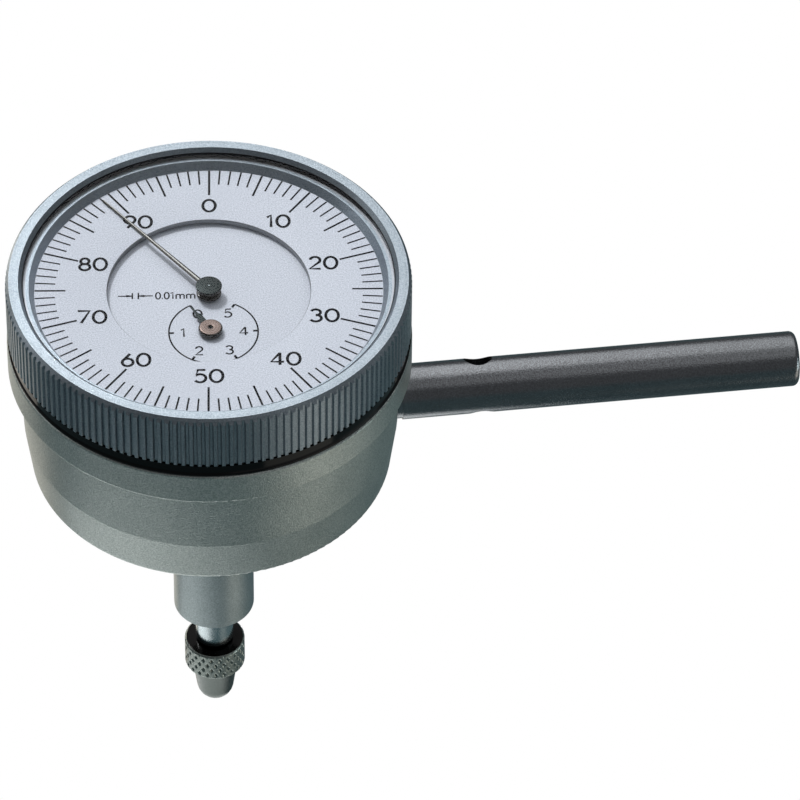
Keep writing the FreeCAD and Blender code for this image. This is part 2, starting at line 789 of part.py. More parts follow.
def make_pointer():
    half_root, half_tip = pointer_root_width / 2, pointer_tip_width / 2
    blade = filled([V(hub_waist_radius, -half_root, 0), V(pointer_length, -half_tip, 0),
                    V(pointer_length, half_tip, 0), V(hub_waist_radius, half_root, 0)])
    blade = blade.extrude(V(0, 0, pointer_thickness))
    eye = disc(pointer_eye_radius, 0, pointer_thickness)
    pointer = blade.fuse(eye).removeSplitter().cut(disc(hub_waist_radius, 0, pointer_thickness))
    return turned_about(moved(pointer, V(0, 0, pointer_z)), UP, pointer_bearing)


def make_counter_staff():
    pivot_low = counter_cock_top_z - cock_thickness + rest_gap
    pivot = disc(pivot_radius, pivot_low, counter_cock_top_z + pivot_shoulder, counter_place)
    staff = disc(counter_staff_radius, counter_cock_top_z + pivot_shoulder, counter_hub_z, counter_place)
    post = disc(counter_post_radius, counter_hub_z, counter_hub_z + counter_hub_height / 2, counter_place)
    return pivot.fuse(staff).fuse(post).removeSplitter()


def make_counter_gear():
    gear = toothed_disc(counter_teeth, counter_radius, addendum, dedendum, counter_gear_thickness, 90.0)
    gear = gear.cut(disc(counter_staff_radius, 0, counter_gear_thickness))
    for place in ring_places(counter_gear_holes, counter_radius * counter_gear_hole_share, 0, 0):
        gear = gear.cut(disc(counter_gear_hole_radius, 0, counter_gear_thickness, place))
    return moved(gear, counter_place + V(0, 0, counter_gear_bottom_z))


def make_hairspring_collet():
    low, high = hairspring_middle_z - collet_height / 2, hairspring_middle_z + collet_height / 2
    return washer(counter_staff_radius, counter_staff_radius + collet_width, low, high, counter_place)


def spiral(offset):
    """One edge of the hairspring, which ends at its stud."""
    inner = counter_staff_radius + collet_width + hairspring_inner_gap + hairspring_thickness
    total = int(hairspring_turns * hairspring_points_per_turn)
    points = []
    for index in range(total + 1):
        share = index / total
        radius = inner + (hairspring_outer_radius - inner) * share + offset
        points.append(polar(radius, stud_bearing - 360 * hairspring_turns * (1 - share)))
    curve = Part.BSplineCurve()
    curve.interpolate(points)
    return curve.toShape(), points[0], points[-1]


def make_hairspring():
    outer, outer_start, outer_end = spiral(hairspring_thickness / 2)
    inner, inner_start, inner_end = spiral(-hairspring_thickness / 2)
    edges = [outer, Part.makeLine(outer_end, inner_end), inner, Part.makeLine(inner_start, outer_start)]
    strip = Part.Face(Part.Wire(Part.sortEdges(edges)[0])).extrude(V(0, 0, hairspring_height))
    return moved(strip, counter_place + V(0, 0, hairspring_middle_z - hairspring_height / 2))


def make_hairspring_stud():
    from_staff = hairspring_outer_radius + hairspring_thickness / 2 + stud_radius
    return disc(stud_radius, counter_cock_top_z, hairspring_middle_z + hairspring_height,
                counter_place + polar(from_staff, stud_bearing))


def make_counter_hub():
    top = counter_hub_z + counter_hub_height
    corner = counter_hub_radius - counter_hub_top_radius
    hub = turned([(0, counter_hub_z), (counter_hub_radius, counter_hub_z),
                  (counter_hub_radius, top - corner), (counter_hub_top_radius, top), (0, top)])
    hub = hub.cut(disc(counter_post_radius, counter_hub_z, counter_hub_z + counter_hub_height / 2))
    hub = hub.cut(disc(counter_hub_hole_radius, counter_hub_z, top))
    return moved(hub, counter_place)


def make_counter_hand():
    """A broad body with sloping shoulders, and a narrow finger that points to the figures."""
    z = counter_hub_z + counter_hand_rise
    body, finger, tip = counter_hand_body_width / 2, counter_hand_finger_width / 2, counter_hand_tip_width / 2
    inside, length = counter_hub_radius / 2, counter_hand_length
    body_end = counter_hub_radius + counter_hand_body_share * (length - counter_hub_radius)
    finger_start = body_end + counter_hand_shoulder
    hand = filled([V(inside, -body, 0), V(body_end, -body, 0), V(finger_start, -finger, 0),
                   V(length, -tip, 0), V(length, tip, 0), V(finger_start, finger, 0),
                   V(body_end, body, 0), V(inside, body, 0)]).extrude(V(0, 0, counter_hand_thickness))
    hand = hand.cut(disc(counter_hub_radius, 0, counter_hand_thickness))
    return moved(turned_about(hand, UP, counter_hand_bearing), counter_place + V(0, 0, z))


def knurl_prism():
    """A toothed drum as tall as the bezel, which gives the turned bezel its grip."""
    pitch = 360.0 / knurl_count
    crest_half, valley_half = pitch * knurl_crest_share / 2, pitch * knurl_valley_share / 2
    outline = tooth_wire(knurl_count, knurl_radius - knurl_depth, knurl_radius,
                         pitch / 2 - valley_half, crest_half)
    drum = filled(outline).extrude(V(0, 0, bezel_height))
    return moved(drum, V(0, 0, bezel_bottom_z))


def make_bezel():
    bore, top = bezel_bore_radius, bezel_top_z
    wire_wall = neck_radius - wire_inset + wire_radius + wire_groove_play
    retainer_top = dial_ring_bottom_z
    retainer_low = retainer_top - retainer_height
    body = turned([(bore, bezel_bottom_z), (knurl_radius, bezel_bottom_z),
                   (knurl_radius, top - rim_step - rim_chamfer), (rim_outer_radius, top - rim_step),
                   (rim_outer_radius, top - rim_step / 2), (rim_outer_radius - rim_step / 2, top),
                   (rim_inner_radius, top), (gasket_outer_radius, crystal_top_z),
                   (gasket_outer_radius, ledge_z), (ledge_inner_radius, ledge_z),
                   (rehaut_radius, dial_face_z), (bore, dial_face_z), (bore, retainer_top),
                   (retainer_outer_radius, retainer_top), (retainer_outer_radius, retainer_low),
                   (bore, retainer_low), (bore, wire_space_high_z), (wire_wall, wire_space_high_z),
                   (wire_wall, wire_space_low_z), (bore, wire_space_low_z)])
    return body.common(knurl_prism())


def make_dial_ring():
    return washer(dial_ring_bore_radius, bezel_bore_radius - dial_ring_play, dial_ring_bottom_z, dial_face_z)


def make_dial_retainer():
    low, high = dial_ring_bottom_z - retainer_height, dial_ring_bottom_z
    ring = washer(retainer_inner_radius, retainer_outer_radius, low, high)
    return ring.cut(sector(2 * retainer_outer_radius, low - 1, high + 1,
                           retainer_gap_bearing, retainer_gap_angle))


def make_crystal_gasket():
    inner = ledge_inner_radius + ledge_width / 2
    return turned([(crystal_radius, crystal_bottom_z), (inner, crystal_bottom_z),
                   (inner, ledge_z), (gasket_outer_radius, ledge_z),
                   (gasket_outer_radius, crystal_top_z), (crystal_radius, crystal_top_z)])


def make_crystal():
    return disc(crystal_radius, crystal_bottom_z, crystal_top_z)


PIECES = {
    "case": make_case, "stem": make_stem, "lower_bush": make_lower_bush, "upper_bush": make_upper_bush,
    "holding_bar": make_holding_bar, "seat_ring": make_seat_ring, "bezel_wire": make_bezel_wire,
    "base_plate": make_base_plate, "pillars": make_pillars, "top_plate": make_top_plate,
    "centre_dial": make_centre_dial, "left_arbor_cock": make_left_arbor_cock,
    "right_arbor_cock": make_right_arbor_cock, "centre_cock": make_centre_cock,
    "counter_cock": make_counter_cock, "return_spring": make_return_spring,
    "hairspring": make_hairspring, "hairspring_stud": make_hairspring_stud,
    "spindle": make_spindle, "spring_collar": make_spring_collar, "contact_point": make_contact_point,
    "rack_bar": make_rack_bar, "rack_pin": rack_pin_rod, "guide_pin": guide_pin_rod,
    "arbor": make_arbor, "rack_pinion": make_rack_pinion, "crown_wheel": make_crown_wheel,
    "centre_pinion": make_centre_pinion, "pointer_hub": make_pointer_hub, "pointer": make_pointer,
    "counter_staff": make_counter_staff, "counter_gear": make_counter_gear,
    "hairspring_collet": make_hairspring_collet, "counter_hub": make_counter_hub,
    "counter_hand": make_counter_hand, "bezel": make_bezel, "dial_ring": make_dial_ring,
    "dial_retainer": make_dial_retainer, "crystal_gasket": make_crystal_gasket, "crystal": make_crystal,
}

os.makedirs("parts", exist_ok=True)
for name, make in PIECES.items():
    save(name, make())
save("base_screws", Part.makeCompound([screw(place, base_screw_length) for place in BASE_SCREWS]))
save("top_plate_screws", Part.makeCompound([screw(place) for place in TOP_SCREWS]))
save("arbor_cock_screws", Part.makeCompound([screw(place, foot_screw_length) for place in FOOT_SCREWS]))
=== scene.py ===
import bmesh
import bpy
import json
import math
from mathutils import Matrix, Vector


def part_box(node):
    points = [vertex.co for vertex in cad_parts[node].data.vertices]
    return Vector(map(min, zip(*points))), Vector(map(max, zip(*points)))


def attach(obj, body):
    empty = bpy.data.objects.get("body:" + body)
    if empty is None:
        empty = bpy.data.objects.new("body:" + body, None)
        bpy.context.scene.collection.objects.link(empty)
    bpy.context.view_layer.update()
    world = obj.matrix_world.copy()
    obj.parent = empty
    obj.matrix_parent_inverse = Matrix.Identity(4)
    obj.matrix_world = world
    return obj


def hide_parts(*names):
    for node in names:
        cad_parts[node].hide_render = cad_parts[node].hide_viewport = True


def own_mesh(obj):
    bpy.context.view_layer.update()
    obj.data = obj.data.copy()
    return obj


# The looks of a back plunger dial indicator. Shapes are worked out in millimetres and
# brought to metres when a piece is finished. +Z points out of the dial.

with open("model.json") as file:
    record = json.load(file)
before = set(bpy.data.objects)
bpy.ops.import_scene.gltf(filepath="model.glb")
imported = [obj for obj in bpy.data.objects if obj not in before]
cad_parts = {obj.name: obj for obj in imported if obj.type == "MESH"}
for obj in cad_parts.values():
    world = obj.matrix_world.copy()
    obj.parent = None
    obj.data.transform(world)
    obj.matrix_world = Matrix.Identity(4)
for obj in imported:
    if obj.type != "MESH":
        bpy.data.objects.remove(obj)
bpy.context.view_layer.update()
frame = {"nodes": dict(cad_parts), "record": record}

MM = 0.001


def low(node):
    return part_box(node)[0] / MM


def high(node):
    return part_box(node)[1] / MM


# Camera: the photograph's viewing angle, in degrees and millimetres
camera_elevation = 45.055
camera_azimuth = -3.5
camera_roll = 0.728
camera_distance = 904.1
camera_shift_right = 26.933
camera_shift_down = 15.534
camera_lens = 288.73
camera_sensor = 36.0

# Studio: a floor disc, soft lamps given by place, size, brightness, tint and aim, and a dim room
floor_z = -200.0
floor_radius = 118.0
floor_centre = (-52.0, -12.0)
floor_glow = 0.8
floor_tint = (0.96, 1.0, 0.98, 1.0)
LAMPS = {
    "overhead": ((-300, 570, 690), (800, 990), 1.55, (1.0, 1.0, 1.0), (-300, 294, -271)),
    "overhead_right": ((500, 570, 690), (800, 990), 0.8, (1.0, 1.0, 1.0), (500, 294, -271)),
    "overhead_front": ((500, -383, 963), (800, 990), 0.35, (1.0, 1.0, 1.0), (500, -659, 2)),
    "key": ((-300, 520, 800), (140, 140), 80.0, (1.0, 0.99, 0.98), (0, 0, 0)),
    "back_left": ((-500, 600, -150), (400, 300), 2.0, (1.1, 1.0, 0.88), (0, 0, 0)),
    "left_low": ((-900, 200, 190), (500, 300), 0.9, (1.0, 1.0, 1.0), (0, 0, 0)),
    "right_level": ((900, -200, -100), (400, 300), 3.0, (0.85, 1.0, 1.02), (0, 0, 0)),
    "under_front_right": ((450, -380, -400), (400, 300), 0.45, (1.1, 1.0, 0.88), (0, 0, 0)),
    "under_right": ((600, -300, -250), (500, 400), 0.8, (1.1, 1.0, 0.86), (0, 0, 0)),
    "apron": ((-110, 200, -201), (260, 200), 0.7, (1.14, 1.0, 0.86), (-110, 200, 0)),
}
room_stops = [(0.0, (0.095, 0.14, 0.15)), (0.46, (0.095, 0.14, 0.15)), (0.54, (0.145, 0.15, 0.155))]

# Finishes: how broad the clouds of blasted metal are, and the unevenness of a plain finish
cloud_size = 6.0
plain_grain = 0.3
plain_spread = 0.12

# Dial face
dial_face_z = high("dial_ring").z
centre_face_z = high("centre_dial").z
ink_lift = 0.01
ink_height = 0.02
mark_turn = -1.87
degrees_per_mark = 3.6
mark_outer = 24.55
mark_inner = {"ten": 19.45, "five": 20.2, "one": 21.7}
mark_width = {"ten": 0.32, "five": 0.3, "one": 0.25}
number_from_axis = 17.25
number_height = 2.62
number_stroke = 0.42
number_gap = 0.3
number_shift = {40: 0.6, 20: -0.25, 10: -0.3, 30: -0.2}

# Turns counter's print
counter_axis = (low("counter_hub") + high("counter_hub")) / 2
counter_ring_centre = (counter_axis.x + 0.41, counter_axis.y + 0.01)
counter_ring_radius = 6.26
counter_ring_stroke = 0.23
counter_ring_cut = 14.3
counter_ring_step = 3
counter_first_bearing = 120
counter_last_bearing = 420
counter_tick_step = 60
counter_tick_inner = 5.55
counter_tick_width = 0.36
counter_number_from_centre = 4.25
counter_number_height = 1.74
counter_number_stroke = 0.26

# Scale mark to the left of the hub
scale_text = "o.o1mm"
scale_text_height = 1.42
scale_text_gap = 0.1
scale_text_stroke = 0.21
scale_text_left = (-7.5, 0.12)
scale_text_turn = -1.3
scale_bar_places = ((-1, -3.3), (1, -2.45))
scale_bar_half = 0.6
scale_tip_gap = 0.12
scale_shaft_length = 1.9
scale_head_length = 0.75
scale_head_half = 0.12

# Hands and hubs
hub_steps = 96
pointer_bearing = 127.8
pointer_length = 23.7
pointer_root_width = 0.92
pointer_tip_width = 0.34
pointer_ridge_share = 0.3
pointer_flat_facing = 0.95
hub_top_radius = high("pointer_hub").x
hub_waist_radius = 1.05
hub_base_radius = 1.75
hub_base_height = 0.3
hub_waist_bottom = 0.45
hub_rim_height = 0.35
hub_hole_radius = 0.12
hub_hole_depth = 0.08
hub_bright_depth = 0.1
hub_face_depth = 0.05
counter_hole_radius = 0.35
counter_hole_floor = 0.3
counter_cap_radius = 1.5

# Return spring
spring_turns = 8.5
spring_wire_radius = 0.25
spring_steps_per_turn = 40
spring_wire_corners = 12

# Rings round the face
recess_radius = 14.35
recess_edge_round = 0.12
ring_bore_radius = 26.3
bead_depth = 0.17
bead_round = 0.1
bead_height = 0.6
gasket_width = 0.14
ledge_shown = 0.34
ledge_skin = 0.015
rim_lip_start = 0.82
rim_lip_inset = 0.13
rim_lip_chamfer = 0.36
rim_lip_round = 0.06
rim_lip_height = 0.44
crystal_gap = 0.03

# Contact point: its neck, knurled collar and nose
contact_neck = 0.4
contact_neck_radius = 2.1
contact_collar = 4.9
collar_shoulder = 0.3
collar_margin = 0.25
collar_rows = 44
collar_steps_per_column = 16
# Above this height the collar's top is smooth and painted near black, a painted dark reflection
collar_polish_painted_dark_z = low("spindle").z - contact_neck - 0.05
nose_top_z = low("spindle").z - contact_neck - contact_collar
nose_radius = 3.4
ball_radius = 2.75
collar_columns = 22
collar_cell_height = 2.0
collar_pit_depth = 0.3
collar_land_share = 0.48


class Value:
    """A shader socket that grows Math nodes when it is used in a sum."""

    def __init__(self, shader, socket):
        self.shader = shader
        self.socket = socket

    def combined(self, operation, first, second):
        return self.shader.node("ShaderNodeMath", {"operation": operation}, {0: first, 1: second})

    def __add__(self, other):
        return self.combined("ADD", self, other)

    def __truediv__(self, other):
        return self.combined("DIVIDE", self, other)

    def __sub__(self, other):
        return self.combined("SUBTRACT", self, other)

    def __rsub__(self, other):
        return self.combined("SUBTRACT", other, self)

    def __mul__(self, other):
        return self.combined("MULTIPLY", self, other)

    __radd__ = __add__
    __rmul__ = __mul__


class Shader:
    """Adds nodes to a node tree, with their settings first and then their sockets."""

    def __init__(self, tree):
        self.tree = tree

    def node(self, kind, settings=None, inputs=None, output=0):
        made = self.tree.nodes.new(kind)
        for name, setting in (settings or {}).items():
            if name == "stops":
                self.set_stops(made.color_ramp, setting)
            else:
                setattr(made, name, setting)
        for name, given in (inputs or {}).items():
            if isinstance(given, Value):
                self.tree.links.new(given.socket, made.inputs[name])
            else:
                made.inputs[name].default_value = given
        return Value(self, made.outputs[output])

    def set_stops(self, ramp, stops):
        while len(ramp.elements) > len(stops):
            ramp.elements.remove(ramp.elements[-1])
        while len(ramp.elements) < len(stops):
            ramp.elements.new(1.0)
        for element, (position, colour) in zip(ramp.elements, stops):
            element.position = position
            element.color = opaque(colour)

    def place(self):
        return self.node("ShaderNodeTexCoord", output="Object")

    def noise(self, size_mm, detail=2.0, stretch=(1, 1, 1)):
        """Noise whose features are about size_mm across."""
        scale = 1.0 / (size_mm * MM)
        mapped = self.node("ShaderNodeMapping", {}, {"Vector": self.place(), "Scale": stretch})
        return self.node("ShaderNodeTexNoise", {}, {"Vector": mapped, "Scale": scale, "Detail": detail})

    def speckle(self, size_mm, contrast, detail=1.0):
        """Noise with its light and dark drawn apart about the middle."""
        return (self.noise(size_mm, detail) - 0.5) * contrast + 0.5

    def between(self, share, first, second):
        """A colour between two colours."""
        return self.node("ShaderNodeMix", {"data_type": "RGBA"},
                         {"Factor": share, 6: colour_of(first), 7: colour_of(second)}, 2)

    def bumps(self, height, depth_mm):
        return self.node("ShaderNodeBump", {}, {"Height": height, "Distance": depth_mm * MM})


def opaque(colour):
    return (colour[0], colour[1], colour[2], 1.0)


def colour_of(given):
    return given if isinstance(given, Value) else opaque(given)


class Finish(Shader):
    """A material with one Principled shader."""

    def __init__(self, name, **fixed):
        self.material = bpy.data.materials.new(name)
        self.material.use_nodes = True
        super().__init__(self.material.node_tree)
        self.tree.nodes.clear()
        self.surface = self.tree.nodes.new("ShaderNodeBsdfPrincipled")
        self.output = self.tree.nodes.new("ShaderNodeOutputMaterial")
        self.tree.links.new(self.surface.outputs[0], self.output.inputs["Surface"])
        for name, value in fixed.items():
            self.set(name.replace("_", " ").title().replace("Ior", "IOR"), value)

    def set(self, socket, value):
        if isinstance(value, Value):
            self.tree.links.new(value.socket, self.surface.inputs[socket])
        else:
            self.surface.inputs[socket].default_value = value


def blasted(name, dark, light, roughness, grain_mm, depth_mm):
    """Metal with a fine blasted grain and faint broad clouds."""
    finish = Finish(name, metallic=1.0)
    grain = finish.speckle(grain_mm, 3.2)
    clouds = finish.noise(cloud_size, 3.0)
    share = grain * 0.8 + clouds * 0.4 - 0.1
    finish.set("Base Color", finish.between(share, dark, light))
    finish.set("Roughness", roughness - 0.06 + clouds * 0.12)
    finish.set("Normal", finish.bumps(grain, depth_mm))
    return finish.material


def ground(name, dark, light, roughness, stretch, line_mm, depth_mm):
    """Metal with fine grinding lines, which run where stretch is smallest."""
    finish = Finish(name, metallic=1.0)
    lines = finish.noise(line_mm, 2.0, stretch)
    finish.set("Base Color", finish.between(lines, dark, light))
    finish.set("Roughness", roughness - 0.05 + lines * 0.1)
    finish.set("Normal", finish.bumps(lines, depth_mm))
    return finish.material


def turned_face(name, dark, light, centre):
    """Dark metal with the fine rings that a turning tool leaves about a centre."""
    finish = Finish(name, metallic=1.0)
    moved = finish.node("ShaderNodeMapping", {},
                        {"Vector": finish.place(), "Location": (-centre[0] * MM, -centre[1] * MM, 0),
                         "Scale": (1, 1, 0)})
    out = finish.node("ShaderNodeVectorMath", {"operation": "LENGTH"}, {0: moved}, "Value")
    rings = finish.node("ShaderNodeTexNoise", {"noise_dimensions": "1D"}, {"W": out / MM, "Scale": 7.0})
    finish.set("Base Color", finish.between(rings, dark, light))
    finish.set("Roughness", 0.2 + rings * 0.15)
    finish.set("Normal", finish.bumps(rings, 0.01))
    return finish.material


def plain(name, colour, roughness, metallic=0.0, depth_mm=0.004, shine=0.5):
    """A smooth finish with just enough unevenness to look made."""
    finish = Finish(name, metallic=metallic, specular_ior_level=shine)
    grain = finish.noise(plain_grain, 2.0)
    dark = [channel * (1 - plain_spread) for channel in colour]
    light = [channel * (1 + plain_spread) for channel in colour]
    finish.set("Base Color", finish.between(grain, dark, light))
    finish.set("Roughness", roughness - 0.03 + grain * 0.06)
    if depth_mm:
        finish.set("Normal", finish.bumps(grain, depth_mm))
    return finish.material


def dial_silver():
    finish = Finish("dial_silver", metallic=0.0)
    grain = finish.speckle(0.2, 2.6)
    finish.set("Base Color", finish.between(grain, (0.46, 0.50, 0.57), (0.70, 0.73, 0.81)))
    finish.set("Roughness", 0.42 + grain * 0.2)
    finish.set("Normal", finish.bumps(grain, 0.006))
    return finish.material


def ink():
    """Matt printing ink, which takes almost no shine."""
    finish = Finish("ink", roughness=0.8, specular_ior_level=0.1)
    grain = finish.noise(0.2, 1.0)
    finish.set("Base Color", finish.between(grain, (0.004, 0.004, 0.006), (0.012, 0.012, 0.016)))
    return finish.material


def contact_steel():
    """Dark hardened steel: the collar's flat top is smooth and painted near black as a dark reflection, and
    the nose is coloured darker than the knurled collar.
    """
    finish = Finish("contact_steel", metallic=1.0)
    grain = finish.noise(0.18, 1.0)
    height = finish.node("ShaderNodeSeparateXYZ", {}, {"Vector": finish.place()}, "Z")
    above = {"operation": "GREATER_THAN"}
    polished_painted_dark = finish.node("ShaderNodeMath", above, {0: height, 1: collar_polish_painted_dark_z * MM})
    knurled = finish.node("ShaderNodeMath", above, {0: height, 1: nose_top_z * MM})
    nose = finish.between(grain, (0.085, 0.10, 0.093), (0.13, 0.148, 0.14))
    collar = finish.between(grain, (0.21, 0.235, 0.22), (0.34, 0.375, 0.35))
    dull = finish.between(knurled, nose, collar)
    # The collar's flat top takes a near-black colour: a painted dark reflection
    finish.set("Base Color", finish.between(polished_painted_dark, dull, (0.006, 0.006, 0.006)))
    finish.set("Roughness", 0.36 - polished_painted_dark * 0.24)
    finish.set("Normal", finish.bumps(grain, 0.006))
    return finish.material


def crystal_clear():
    """Thin flat glass: light goes straight through and a little comes back."""
    finish = Finish("crystal_clear")
    glass = finish.node("ShaderNodeBsdfGlossy", {}, {"Color": (1, 1, 1, 1), "Roughness": 0.02})
    clear = finish.node("ShaderNodeBsdfTransparent", {}, {"Color": (0.985, 0.99, 0.995, 1)})
    gloss = finish.node("ShaderNodeFresnel", {}, {"IOR": 1.45})
    front = 1 - finish.node("ShaderNodeNewGeometry", output="Backfacing")
    mixed = finish.node("ShaderNodeMixShader", {}, {0: gloss * front * 0.25, 1: clear, 2: glass})
    finish.tree.links.new(mixed.socket, finish.output.inputs["Surface"])
    return finish.material


def floor_white():
    """A matt floor that glows towards the camera and bright metal, and keeps the shadow."""
    finish = Finish("floor_white", base_color=(0.8, 0.8, 0.8, 1.0), roughness=0.9)
    ray = finish.tree.nodes.new("ShaderNodeLightPath")
    seen = Value(finish, ray.outputs["Is Camera Ray"]) + Value(finish, ray.outputs["Is Glossy Ray"])
    seen = seen + Value(finish, ray.outputs["Is Transmission Ray"])
    glow = finish.node("ShaderNodeEmission", {}, {"Color": floor_tint, "Strength": floor_glow})
    lit = finish.node("ShaderNodeAddShader", {}, {0: Value(finish, finish.surface.outputs[0]), 1: glow})
    mixed = finish.node("ShaderNodeMixShader", {},
                        {0: seen, 1: Value(finish, finish.surface.outputs[0]), 2: lit})
    finish.tree.links.new(mixed.socket, finish.output.inputs["Surface"])
    return finish.material


MATERIALS = {
    "case_grey": blasted("case_grey", (0.32, 0.355, 0.345), (0.55, 0.59, 0.565), 0.40, 0.22, 0.014),
    "bezel_grey": blasted("bezel_grey", (0.215, 0.255, 0.29), (0.35, 0.40, 0.445), 0.34, 0.18, 0.008),
    "seal_black": plain("seal_black", (0.002, 0.002, 0.002), 0.1, depth_mm=0, shine=0.2),
    "gasket_black": plain("gasket_black", (0.004, 0.004, 0.005), 0.35, depth_mm=0, shine=0.12),
    "bar_black": blasted("bar_black", (0.165, 0.172, 0.18), (0.26, 0.27, 0.285), 0.22, 0.2, 0.008),
    "stem_steel": blasted("stem_steel", (0.33, 0.375, 0.38), (0.50, 0.55, 0.56), 0.38, 0.2, 0.009),
    "steel": ground("steel", (0.48, 0.54, 0.56), (0.66, 0.72, 0.74), 0.2, (1, 1, 8), 0.4, 0.002),
    "contact_steel": contact_steel(),
    "spring_steel": plain("spring_steel", (0.55, 0.56, 0.58), 0.28, 1.0),
    "brass": ground("brass", (0.62, 0.47, 0.22), (0.74, 0.58, 0.30), 0.30, (6, 6, 1), 0.5, 0.003),
    "bronze": plain("bronze", (0.50, 0.33, 0.19), 0.35, 1.0),
    "dial_silver": dial_silver(),
    "pointer_dark": plain("pointer_dark", (0.36, 0.36, 0.34), 0.22, 1.0),
    "hub_dark": turned_face("hub_dark", (0.012, 0.016, 0.016), (0.045, 0.055, 0.055), (0, 0)),
    "counter_bronze": turned_face("counter_bronze", (0.12, 0.09, 0.08), (0.22, 0.17, 0.15), (0, -7.5)),
    "ledge_bright": plain("ledge_bright", (0.36, 0.38, 0.41), 0.4, 1.0),
    "edge_steel": plain("edge_steel", (0.22, 0.23, 0.24), 0.3, 1.0),
    # Black painted as shade on the sides and holes of the hubs and on the needle's flanks
    "painted_shade_black": plain("painted_shade_black", (0.02, 0.018, 0.016), 0.18),
    "crystal_clear": crystal_clear(),
    "ink": ink(),
}


def dress_frame():
    """Gives each solid of the frame the material of its slot."""
    for part in frame["record"]["subparts"]:
        mesh = frame["nodes"][part["node"]].data
        mesh.materials.clear()
        mesh.materials.append(MATERIALS[part["material_slot"]])


def finished(mesh_data, name, material, smooth_angle=30.0):
    """Makes an object of a bmesh or mesh in millimetres, with its place in its mesh."""
    if isinstance(mesh_data, bmesh.types.BMesh):
        mesh = bpy.data.meshes.new(name)
        mesh_data.to_mesh(mesh)
        mesh_data.free()
    else:
        mesh = mesh_data
        mesh.name = name
    mesh.transform(Matrix.Scale(MM, 4))
    mesh.shade_smooth()
    mesh.set_sharp_from_angle(angle=math.radians(smooth_angle))
    mesh.materials.clear()
    mesh.materials.append(MATERIALS[material])
    piece = bpy.data.objects.new(name, mesh)
    bpy.context.scene.collection.objects.link(piece)
    return piece


def ridden(piece, body, slot, *nodes):
    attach(piece, body)
    for node in nodes:
        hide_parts(node)
    return piece


def lathe(corners, steps=192):
    """A turned shape from corners given as (radius, height, rounding)."""
    shape = bmesh.new()
    points = [shape.verts.new((radius, 0, z)) for radius, z, rounding in corners]
    for first, second in zip(points, points[1:] + points[:1]):
        shape.edges.new((first, second))
    for point, (radius, z, rounding) in zip(points, corners):
        if rounding:
            bmesh.ops.bevel(shape, geom=[point], offset=rounding, affect="VERTICES",
                            segments=4, profile=0.5, material=-1)
    on_axis = [edge for edge in shape.edges if all(vert.co.x < 1e-6 for vert in edge.verts)]
    bmesh.ops.delete(shape, geom=on_axis, context="EDGES")
    bmesh.ops.spin(shape, geom=shape.verts[:] + shape.edges[:], cent=(0, 0, 0), axis=(0, 0, 1),
                   angle=2 * math.pi, steps=steps, use_merge=True)
    bmesh.ops.remove_doubles(shape, verts=shape.verts, dist=1e-5)
    bmesh.ops.recalc_face_normals(shape, faces=shape.faces)
    return shape


def bearing_point(radius, bearing, centre=(0, 0)):
    angle = math.radians(bearing)
    return (centre[0] + radius * math.cos(angle), centre[1] + radius * math.sin(angle))


# Drawn figures: each is a list of strokes inside a box one unit high, about its middle

def arc(centre_x, centre_y, radius_x, radius_y, start, end):
    """Points along part of an ellipse, from one angle to another in degrees."""
    count = max(3, round(abs(end - start) / 12))
    angles = [math.radians(start + (end - start) * index / count) for index in range(count + 1)]
    return [(centre_x + radius_x * math.cos(angle), centre_y + radius_y * math.sin(angle))
            for angle in angles]


def ring(centre_x, centre_y, radius_x, radius_y):
    return arc(centre_x, centre_y, radius_x, radius_y, 0, 360)


FIGURES = {
    "0": (0.76, [ring(0, 0, 0.34, 0.46)]),
    "o": (0.56, [ring(0, 0, 0.23, 0.46)]),
    "1": (0.42, [[(-0.17, 0.30), (0.05, 0.46), (0.05, -0.46)]]),
    "2": (0.70, [arc(0, 0.20, 0.27, 0.26, 170, -35) + [(-0.29, -0.46), (0.30, -0.46)]]),
    "3": (0.72, [arc(-0.02, 0.235, 0.255, 0.225, 155, -90), arc(-0.02, -0.21, 0.30, 0.25, 90, -155)]),
    "4": (0.74, [[(0.12, 0.44), (-0.34, -0.22), (0.34, -0.22)], [(0.13, 0.46), (0.13, -0.46)]]),
    "5": (0.72, [[(0.26, 0.46), (-0.14, 0.46), (-0.23, 0.03)] + arc(-0.02, -0.16, 0.31, 0.30, 130, -145)]),
    "6": (0.70, [ring(0, -0.18, 0.29, 0.28), [(-0.24, -0.03), (0.12, 0.46)]]),
    "7": (0.72, [[(-0.32, 0.46), (0.31, 0.46), (-0.12, -0.46)]]),
    "8": (0.68, [ring(0, 0.235, 0.225, 0.225), ring(0, -0.215, 0.28, 0.245)]),
    "9": (0.70, [ring(0, 0.18, 0.29, 0.28), [(0.24, 0.03), (-0.12, -0.46)]]),
    ".": (0.16, [[(-0.04, -0.42), (0.04, -0.42)], [(-0.04, -0.35), (0.04, -0.35)]]),
    "m": (0.98, [[(-0.40, 0.14), (-0.40, -0.46)],
                 [(-0.40, -0.06)] + arc(-0.20, -0.06, 0.20, 0.22, 180, 0) + [(0.0, -0.46)],
                 [(0.0, -0.06)] + arc(0.20, -0.06, 0.20, 0.22, 180, 0) + [(0.40, -0.46)]]),
}


def drawn_text(text, height, gap):
    """Strokes of a line of figures, in millimetres about the middle of the line."""
    widths = [FIGURES[letter][0] * height for letter in text]
    total = sum(widths) + gap * (len(text) - 1)
    strokes, left = [], -total / 2
    for letter, width in zip(text, widths):
        middle = left + width / 2
        for stroke in FIGURES[letter][1]:
            strokes.append([(middle + x * height, y * height) for x, y in stroke])
        left += width + gap
    return strokes


def placed(strokes, centre, turn=0.0):
    angle = math.radians(turn)
    cosine, sine = math.cos(angle), math.sin(angle)
    return [[(centre[0] + x * cosine - y * sine, centre[1] + x * sine + y * cosine) for x, y in stroke]
            for stroke in strokes]


